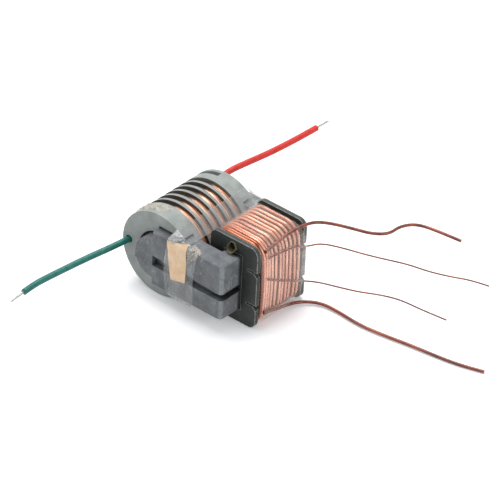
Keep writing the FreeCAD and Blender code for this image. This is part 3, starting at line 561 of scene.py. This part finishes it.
# Leads: the points of the CAD routes, in metres
ROUTES = {
    "green_lead_jacket": [
        (-0.018375, -0.010945, 0.012000), (-0.019445, -0.017245, 0.011600),
        (-0.021175, -0.025445, 0.011250), (-0.022075, -0.031945, 0.011100),
        (-0.022875, -0.038145, 0.011000), (-0.023275, -0.042845, 0.010950),
        (-0.022975, -0.046645, 0.010900)],
    "red_lead_jacket": [
        (-0.018575, 0.011055, 0.012000), (-0.018625, 0.016855, 0.012400),
        (-0.017815, 0.023655, 0.014800), (-0.017095, 0.029355, 0.014800),
        (-0.015915, 0.037855, 0.014600), (-0.015405, 0.043955, 0.014500),
        (-0.015115, 0.050355, 0.014300), (-0.015175, 0.056555, 0.014000)],
    "thick_lead_upper": [
        (0.019375, -0.004945, 0.022350), (0.019075, 0.000155, 0.022820),
        (0.019075, 0.005155, 0.023300), (0.019975, 0.009355, 0.023750),
        (0.020925, 0.013055, 0.023200), (0.023925, 0.015755, 0.022700),
        (0.028125, 0.018155, 0.022100), (0.032725, 0.020455, 0.021500),
        (0.035525, 0.023855, 0.021100), (0.035025, 0.028855, 0.020700),
        (0.037225, 0.033155, 0.020300), (0.043125, 0.034855, 0.019800),
        (0.048925, 0.036155, 0.019200)],
    "thin_lead_upper": [
        (0.020125, -0.004345, 0.020500), (0.020225, 0.001055, 0.019900),
        (0.020225, 0.006155, 0.018750), (0.020075, 0.010355, 0.016600),
        (0.021525, 0.014355, 0.016300), (0.026125, 0.016755, 0.016000),
        (0.031725, 0.018955, 0.015600), (0.036525, 0.021155, 0.015300),
        (0.041925, 0.023955, 0.014900), (0.047625, 0.025655, 0.014500),
        (0.053025, 0.028255, 0.014200), (0.056925, 0.030755, 0.013900),
        (0.061325, 0.032255, 0.013500)],
    "thin_lead_lower": [
        (0.020325, -0.004645, 0.014300), (0.020375, 0.000055, 0.011600),
        (0.020275, 0.005255, 0.008600), (0.020125, 0.009755, 0.006400),
        (0.023125, 0.012055, 0.006300), (0.027525, 0.013955, 0.006100),
        (0.032725, 0.016355, 0.005800), (0.037325, 0.019555, 0.005500),
        (0.042125, 0.021755, 0.005200), (0.048825, 0.022555, 0.004800),
        (0.055225, 0.023755, 0.004500)],
    "thick_lead_lower": [
        (0.020225, -0.005445, 0.004500), (0.020025, -0.000045, 0.002800),
        (0.019675, 0.005755, 0.001250), (0.021325, 0.009355, 0.000800),
        (0.024925, 0.011855, 0.000700), (0.030125, 0.012055, 0.000600),
        (0.037625, 0.011355, 0.000600), (0.044825, 0.012255, 0.000600),
        (0.052025, 0.013555, 0.000600), (0.059525, 0.014555, 0.000550),
        (0.066525, 0.015755, 0.000500), (0.072225, 0.017755, 0.000500)],
}


def lead(node, diameter, material, slot, with_pieces=()):
    """One free lead as a smooth curve with the route's points as its control points."""
    data = bpy.data.curves.new(node + "_line", "CURVE")
    data.dimensions = "3D"
    data.bevel_depth, data.bevel_resolution = diameter / 2, 5
    data.use_fill_caps = True
    data.resolution_u = 10
    spline = data.splines.new("NURBS")
    points = ROUTES[node]
    spline.points.add(len(points) - 1)
    for place, point in zip(spline.points, points):
        place.co = (*point, 1)
    spline.order_u = 3
    spline.use_endpoint_u = True
    data.materials.append(material)
    piece = bpy.data.objects.new(node + "_curve", data)
    scene.collection.objects.link(piece)
    own(piece, slot, node)


def conductor(node):
    """Bare wire end that stands out of a jacket."""
    paint(node, TINNED)
    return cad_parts[node]


lead("green_lead_jacket", 0.0017, GREEN, "green_jacket",
     [conductor("green_lead_conductor")])
lead("red_lead_jacket", 0.0017, RED, "red_jacket",
     [conductor("red_lead_conductor")])
lead("thick_lead_upper", 0.00087, LEAD_COPPER, "heavy_copper")
lead("thin_lead_upper", 0.00042, LEAD_COPPER, "heavy_copper")
lead("thin_lead_lower", 0.00042, LEAD_COPPER, "heavy_copper")
lead("thick_lead_lower", 0.00087, LEAD_COPPER, "heavy_copper")


# Core and bobbins
def lower_groove(vertex):
    """Sink the front yoke's clip groove, which is 2 mm high in the source, and let it
    narrow towards the yoke's end."""
    high = vertex.co.z * 1000 - OZ
    if abs(abs(high) - 1) < 0.05:
        along = min(max((vertex.co.x * 1000 + OX) / 23, 0), 1)
        drop = GROOVE_DROP if high < 0 else 0.1 + GROOVE_DROP * along
        vertex.co.z -= drop / 1000


refined("front_core_half", "front_yoke", FERRITE, "ferrite", 0.16, lower_groove)
refined("rear_core_half", "rear_yoke", FERRITE, "ferrite", 0.16)
refined("secondary_bobbin", "slotted_bobbin", GREY, "bobbin_grey", 0.32)
refined("primary_bobbin", "square_bobbin", DARK, "bobbin_dark", 0.16)
refined("insulating_sleeve", "sleeve_stub", OLIVE, "olive_sleeve", 0.05)
for node, material in (("core_gap_shim_round", SPACER), ("core_gap_shim_square", SPACER),
                       ("interlayer_tape", INSULATION), ("feedback_winding", DEEP_COPPER)):
    paint(node, material)


def fine_coil(index):
    """The fine wire in one slot: a turned body, slightly crowned, with wandering layers."""
    low = SLOT_START + SLOT_PITCH * (index - 1)
    high = low + SLOT_WIDTH
    hub, shoulder, wound = 7.42, 10.95, 11.12       # radii
    rng = random.Random(40 + index)
    profile = [(low + 0.01, hub), (low + 0.01, shoulder)]
    steps = 14
    for k in range(steps + 1):
        t = k / steps
        crown = 0.14 * (1 - (2 * t - 1) ** 2)
        ripple = 0.035 * math.sin(k * 2.6 + index) + 0.02 * rng.uniform(-1, 1)
        profile.append((low + 0.03 + (SLOT_WIDTH - 0.06) * t, wound + crown + ripple))
    profile += [(high - 0.01, shoulder), (high - 0.01, hub)]
    around = 180
    points = []
    for i in range(around):
        a = 2 * math.pi * i / around
        for y, r in profile:
            wobble = 0.05 * noise.noise(Vector((math.sin(a) * 2, y * 1.2, math.cos(a) * 2)))
            rr = r + (wobble if r > hub else 0)
            points.append((rr * math.sin(a), y, rr * math.cos(a)))
    columns = len(profile)
    faces = [face[::-1] for face in strip_faces(around, columns, ring=True, closed=True)]
    add_mesh("fine_coil_%d" % index, points, faces, FINE, "fine_copper",
             ("secondary_winding_%d" % index,))


for index in range(1, 7):
    fine_coil(index)


def loop_point(t, box, radius):
    """Point and outward direction at a share t of the way round a rounded rectangle."""
    x0, x1, z0, z1 = box
    wide, tall, bend = x1 - x0 - 2 * radius, z1 - z0 - 2 * radius, math.pi * radius / 2
    s = (t % 1.0) * (2 * wide + 2 * tall + 4 * bend)
    corners = [(x1 - radius, z1 - radius), (x1 - radius, z0 + radius),
               (x0 + radius, z0 + radius), (x0 + radius, z1 - radius)]
    runs = [wide, tall, wide, tall]
    for k in range(4):
        ahead = math.pi / 2 - k * math.pi / 2          # outward direction of this run
        out = Vector((math.cos(ahead), 0, math.sin(ahead)))
        along = Vector((out.z, 0, -out.x))
        centre = Vector((corners[k][0], 0, corners[k][1]))
        if s <= runs[k]:
            return centre + out * radius + along * (s - runs[k]), out
        s -= runs[k]
        if s <= bend:
            turn = ahead - s / radius
            out = Vector((math.cos(turn), 0, math.sin(turn)))
            return centre + out * radius, out
        s -= bend
    return centre + out * radius, out


def bulge(place, out):
    """How far the wound side stands out at its middle height, where no corner holds it."""
    return 0.6 * max(out.x, 0) * max(1 - (place.z / 11.5) ** 2, 0)


def wire_tube(path, radius):
    """Points and faces of a round section swept along a path, closed at both ends."""
    points, sides = [], 12
    for i, here in enumerate(path):
        ahead = path[min(i + 1, len(path) - 1)] - path[max(i - 1, 0)]
        ahead.normalize()
        side = Vector((0, 1, 0))
        side = (side - ahead * side.dot(ahead)).normalized()
        out = side.cross(ahead)
        for k in range(sides):
            a = 2 * math.pi * k / sides
            points.append(here + (side * math.cos(a) + out * math.sin(a)) * radius)
    faces = strip_faces(len(path), sides, ring=True)
    faces.append(tuple(range(sides - 1, -1, -1)))
    faces.append(tuple(range(len(points) - sides, len(points))))
    return points, faces


def heavy_layer(name, depth, count, radius, material, nodes=(), tight=0):
    """A layer of enamelled wire: the first turns lie tight, the others share the rest."""
    close = 2.08 * radius
    wide = (WOUND_REAR - WOUND_FRONT - tight * close) / (count - tight)

    def along(turns):
        return WOUND_FRONT + min(turns, tight) * close + max(turns - tight, 0) * wide

    inset = radius + depth
    left, right, low, high = WOUND_BOX
    box = (left + inset, right - inset, low + inset, high - inset)
    path = []
    steps = 120
    for i in range(count * steps + 1):
        share = i / steps
        turn = int(share)
        place, out = loop_point(share + SEAM, box, WOUND_CORNER - inset)
        # Each turn lies flat along its loop and steps over within the last eighth
        step = min(max((share - turn - 0.88) / 0.12, 0), 1)
        step = step * step * (3 - 2 * step)
        turn = min(turn, count - 1)
        centre = (along(turn) + along(turn + 1)) / 2
        y = centre + step * (along(turn + 1.5) - along(turn + 0.5))
        drift = noise.noise(Vector((share * 0.8, depth * 7.0, 0.5)))
        y += (0.04 if turn < tight else 0.5) * drift
        y = min(max(y, WOUND_FRONT + radius), WOUND_REAR - radius)
        lift = bulge(place, out) + 0.05 * noise.noise(Vector((share * 2.0, 5.1, depth)))
        place = place + out * lift
        path.append(Vector((place.x, y, place.z)))
    points, faces = wire_tube(path, radius)
    add_mesh(name, points, faces, material, "heavy_copper", nodes)


heavy_layer("heavy_coil", 0.0, 12, 0.43, HEAVY, ("primary_winding",), tight=4)
heavy_layer("heavy_coil_under", 0.72, 16, 0.43, DEEP_COPPER)


def spline(values, t):
    """A smooth curve through points that stand one unit of t apart."""
    k = min(max(int(t), 0), len(values) - 2)
    s = t - k
    a, b = values[max(k - 1, 0)], values[k]
    c, d = values[k + 1], values[min(k + 2, len(values) - 1)]
    return b + 0.5 * s * (c - a + s * (2 * a - 5 * b + 4 * c - d + s * (3 * (b - c) + d - a)))


def mark_loose(piece, values):
    """Tell the film's material, point by point, how loose or crumpled it lies."""
    piece.data.attributes.new("loose", "FLOAT", "POINT").data.foreach_set("value", values)


def sheet(name, rows, material, slot, ruffle, nodes=(), step=0.45, columns=22,
          thickness=0.07):
    """A thin sheet through rows of control points. For a place along, a share across and
    a point, ruffle gives how far it lifts along its normal and how loose it lies."""
    rows = [[Vector(point) for point in row] for row in rows]
    stops, t = [], 0.0
    while t < len(rows) - 1:
        stops.append(t)
        k = int(t)
        span = max((rows[k + 1][j] - rows[k][j]).length for j in range(len(rows[k])))
        t += min(step / max(span, 0.05), 0.5)
    stops.append(len(rows) - 1)
    grid = []
    for t in stops:
        across = [spline([row[j] for row in rows], t) for j in range(len(rows[0]))]
        grid.append([spline(across, (len(across) - 1) * j / columns)
                     for j in range(columns + 1)])
    points, loose = [], []
    for i, line in enumerate(grid):
        for j, here in enumerate(line):
            u = line[min(j + 1, columns)] - line[max(j - 1, 0)]
            v = grid[min(i + 1, len(grid) - 1)][j] - grid[max(i - 1, 0)][j]
            out = u.cross(v).normalized()
            lift, slack = ruffle(stops[i], j / columns, here)
            points.append(here + out * lift)
            loose.append(slack)
    piece = add_mesh(name, points, strip_faces(len(grid), columns + 1), material, slot, nodes)
    mark_loose(piece, loose)
    thicken(piece, thickness)


def rough(here, scale, seed):
    """Noise from 0 to 1 at a point, with sharp valleys like creased film."""
    value = noise.noise(here * scale + Vector((seed, seed * 2, seed * 3)))
    return min(abs(value) * 2.2, 1.0)


# The tape once round the core: up the front yoke, over the rims, down the rear, and under
BAND = [
    [(5.6, -1.0, -8.3), (7.6, -1.6, -8.45), (10.0, -0.9, -8.35), (12.6, -1.7, -8.3)],
    [(5.7, -2.3, -8.2), (8.0, -2.5, -8.3), (10.6, -2.4, -8.2), (13.4, -2.4, -8.2)],
    [(4.6, -2.42, -6.2), (7.6, -2.46, -6.4), (10.6, -2.42, -6.4), (13.8, -2.42, -6.4)],
    [(4.1, -2.42, 0.4), (7.2, -2.42, 0.2), (10.4, -2.42, 0.0), (13.7, -2.42, -0.6)],
    [(4.9, -2.42, 7.2), (7.6, -2.42, 7.1), (10.8, -2.42, 7.0), (14.4, -2.42, 6.4)],
    [(5.3, -2.15, 8.2), (7.6, -2.15, 8.25), (9.8, -2.15, 8.25), (12.6, -2.15, 8.16)],
    [(5.8, -0.9, 9.5), (7.4, -0.95, 9.15), (9.2, -1.0, 8.75), (11.2, -0.9, 8.3)],
    [(6.05, 0.0, 10.48), (7.45, 0.0, 9.62), (8.95, 0.0, 8.75), (10.7, 0.0, 8.3)],
    [(6.1, 1.6, 10.44), (7.45, 1.6, 9.56), (8.9, 1.6, 8.7), (10.6, 1.6, 8.25)],
    [(6.1, 8.0, 10.44), (7.5, 8.0, 9.52), (8.95, 8.0, 8.6), (10.8, 8.0, 8.15)],
    [(6.1, 14.0, 10.44), (7.5, 14.0, 9.52), (9.1, 14.0, 8.6), (11.4, 14.0, 8.1)],
    [(6.1, 20.4, 10.44), (7.5, 20.4, 9.56), (9.2, 20.4, 8.7), (11.9, 20.4, 8.15)],
    [(6.0, 25.9, 10.44), (7.5, 25.9, 9.6), (9.2, 25.9, 8.8), (11.9, 25.9, 8.35)],
    [(6.0, 26.7, 9.1), (7.8, 26.7, 8.8), (9.7, 26.6, 8.5), (12.0, 26.7, 8.3)],
    [(5.8, 28.1, 8.3), (7.8, 28.1, 8.3), (9.8, 28.1, 8.3), (12.1, 28.1, 8.25)],
    [(5.8, 28.28, 6.6), (7.8, 28.28, 6.6), (9.8, 28.28, 6.6), (11.9, 28.28, 6.6)],
    [(5.9, 28.28, -6.6), (7.8, 28.28, -6.6), (9.7, 28.28, -6.6), (11.5, 28.28, -6.6)],
    [(6.0, 28.1, -8.3), (7.7, 28.1, -8.3), (9.4, 28.1, -8.3), (11.2, 28.1, -8.3)],
    [(6.0, 26.0, -10.3), (7.5, 26.0, -9.5), (9.0, 26.0, -8.7), (10.8, 26.0, -8.3)],
    [(6.1, 20.0, -10.44), (7.5, 20.0, -9.52), (8.95, 20.0, -8.6), (10.7, 20.0, -8.2)],
    [(6.1, 6.0, -10.44), (7.5, 6.0, -9.52), (8.95, 6.0, -8.6), (10.7, 6.0, -8.2)],
    [(6.1, -0.1, -10.44), (7.5, -0.1, -9.6), (9.0, -0.1, -8.9), (10.8, -0.1, -8.8)],
]
# Where it lies loose, in rows of BAND: the middle of each zone, its reach and its share
LOOSE_ZONES = (0.4, 1.3, 1.0), (5.9, 1.0, 0.8), (12.9, 1.3, 1.0), (17.6, 1.0, 0.7)
TOP_OF_YOKE = 5.6                      # the row at which it leaves the front yoke's face


def band_ruffle(t, u, here):
    """Creases gather where the tape leaves a yoke for a rim and at its loose ends."""
    loose = min(sum(share * math.exp(-((t - middle) / reach) ** 2)
                    for middle, reach, share in LOOSE_ZONES), 1.0)
    folds = 0.6 * rough(here, 0.7, 3.0) + 0.4 * rough(here, 1.6, 8.0)
    if t < TOP_OF_YOKE:
        loose = max(loose, 0.35)
    return (0.01 + 0.42 * loose) * folds, 1.0 if u < 0.02 or u > 0.98 else loose


sheet("core_tape", BAND, BAND_FILM, "clear_tape", band_ruffle, ("core_tape_band",))

# Loose flap of the tape, pushed up white beside the label, and glue left on the yoke
sheet("tape_crumple", [
    [(5.0, -2.5, 7.6), (6.4, -2.6, 7.8), (7.8, -2.55, 7.8)],
    [(5.2, -2.0, 8.7), (6.6, -2.2, 8.9), (8.2, -2.1, 8.8)],
    [(5.9, -0.8, 9.9), (7.3, -1.2, 9.7), (8.9, -1.2, 9.2)],
    [(6.3, -0.1, 10.6), (7.8, -0.4, 10.0), (9.4, -0.6, 9.0)]],
    CRUMPLED_FILM, "clear_tape", lambda t, u, here: (0.3 * rough(here, 1.3, 5.0), 1.0),
    step=0.25, columns=14)
sheet("glue_residue", [
    [(11.5, -2.5, 3.6), (12.6, -2.5, 4.6), (13.6, -2.5, 5.4), (14.4, -2.5, 6.2)],
    [(11.5, -2.5, 7.0), (12.6, -2.5, 7.0), (13.9, -2.48, 7.2), (15.2, -2.44, 7.5)],
    [(11.5, -2.2, 8.3), (12.7, -2.2, 8.26), (14.2, -2.2, 8.2), (15.8, -2.2, 8.14)],
    [(11.4, -0.6, 8.3), (12.6, -0.6, 8.22), (13.8, -0.8, 8.16), (15.2, -1.2, 8.12)],
    [(11.5, 0.7, 8.2), (12.2, 0.6, 8.14), (13.0, 0.3, 8.1), (13.8, 0.0, 8.1)]],
    RESIDUE, "clear_tape",
    lambda t, u, here: (0.1 * rough(here, 2.6, 1.0),
                        min(6 * u, 6 - 6 * u, 1.6 * t, 6.4 - 1.6 * t, 1.0)),
    step=0.2, columns=20)

# Plain paper tape, creased from its top edge to its lower left corner: each row gives the
# left edge, the crease and the right edge
LABEL_EDGES = [
    ((6.6, -2.6, -3.05), (7.4, -2.9, -2.7), (11.25, -2.56, -2.0)),
    ((5.9, -2.58, 0.8), (8.2, -3.0, 0.9), (11.4, -2.56, 1.2)),
    ((5.4, -2.58, 4.5), (9.0, -3.1, 4.6), (11.45, -2.58, 4.6)),
    ((5.1, -2.6, 7.2), (9.6, -3.0, 7.4), (11.4, -2.64, 7.5)),
    ((5.05, -2.6, 8.05), (9.85, -2.2, 8.9), (11.15, -1.35, 9.35))]
sheet("paper_label", [
    [tuple(a + (b - a) * share for a, b in zip(left, fold)) for share in (0, 0.5, 0.96)]
    + [tuple(a + (b - a) * share for a, b in zip(fold, right)) for share in (0.04, 0.5, 1)]
    for left, fold, right in LABEL_EDGES],
    PAPER, "paper_tape",
    # The crease is marked loose so that the paper's look paints shade along it
    lambda t, u, here: (0.06 * rough(here, 0.7, 2.0), 1.0 if abs(u - 0.5) < 0.03 else 0.0),
    ("paper_label",), step=0.4, columns=40, thickness=0.09)


def winding_film():
    """Glossy tape round the heavy turns, with a crinkled edge that flares at the rear."""
    box, corner, floor = (12.55, 29.0, -11.93, 12.36), 3.4, -11.97
    across, around = 30, 260
    points, loose = [], []
    for i in range(around):
        place, out = loop_point(i / around + SEAM, box, corner)
        right = max(out.x, 0) * max(1 - (place.z / 12.5) ** 2, 0)
        flare = max(out.x, 0) * max(1 - ((place.z - 3) / 9) ** 2, 0)
        front = max(8.3 - 2.1 * right, 6.5) + 0.2 * noise.noise(Vector((i * 0.06, 0, 4)))
        rear = 20.9 + 1.1 * flare + 0.35 * noise.noise(Vector((i * 0.11, 3, 9)))
        for j in range(across + 1):
            v = j / across
            y = front + (rear - front) * v
            late = max((v - 0.72) / 0.28, 0)
            lift = bulge(place, out) + 0.2 * right + 0.45 * flare * late ** 1.6
            fold = rough(Vector((place.x, y * 0.5, place.z)), 0.45, 4.0)
            here = place + out * (lift + (0.02 + 0.45 * late * flare) * fold)
            points.append((here.x, y, max(here.z, floor)))
            loose.append(min(late * (0.2 + flare) + 0.4 * max(0.1 - v, 0), 1.0))
    piece = add_mesh("winding_film", points, strip_faces(around, across + 1, closed=True),
                     WRAP_FILM, "clear_tape", ("winding_tape_wrap",))
    mark_loose(piece, loose)
    thicken(piece, 0.07)


winding_film()


def sealant_smear():
    """Rough filler over the front rim groove, thinning out unevenly at its edges."""
    start, sweep, front, width = -52, 60, 0.9, 4.2       # degrees from the top, and mm
    points, around, across = [], 80, 24
    for i in range(around + 1):
        a = math.radians(start + sweep * i / around)
        for j in range(across + 1):
            y = front + width * j / across
            edge = min(i / 12, (around - i) / 12, j / 5, (across - j) / 5, 1)
            here = Vector((RIM * math.sin(a), y, RIM * math.cos(a)))
            grit = noise.noise(here * 0.6) * 0.6 + noise.noise(here * 1.9) * 0.6
            gap = math.exp(-((a - 0.02) / 0.07) ** 2 - ((y - 1.9) / 0.5) ** 2)
            r = RIM - 0.08 + edge * (0.2 + 0.45 * grit) - 0.35 * (1 - edge) - 1.2 * gap
            points.append((r * math.sin(a), y, r * math.cos(a)))
    piece = add_mesh("rim_sealant", points, strip_faces(around + 1, across + 1), SEALANT,
                     "sealant", ("front_joint_sealant",))
    thicken(piece, 0.3)


sealant_smear()
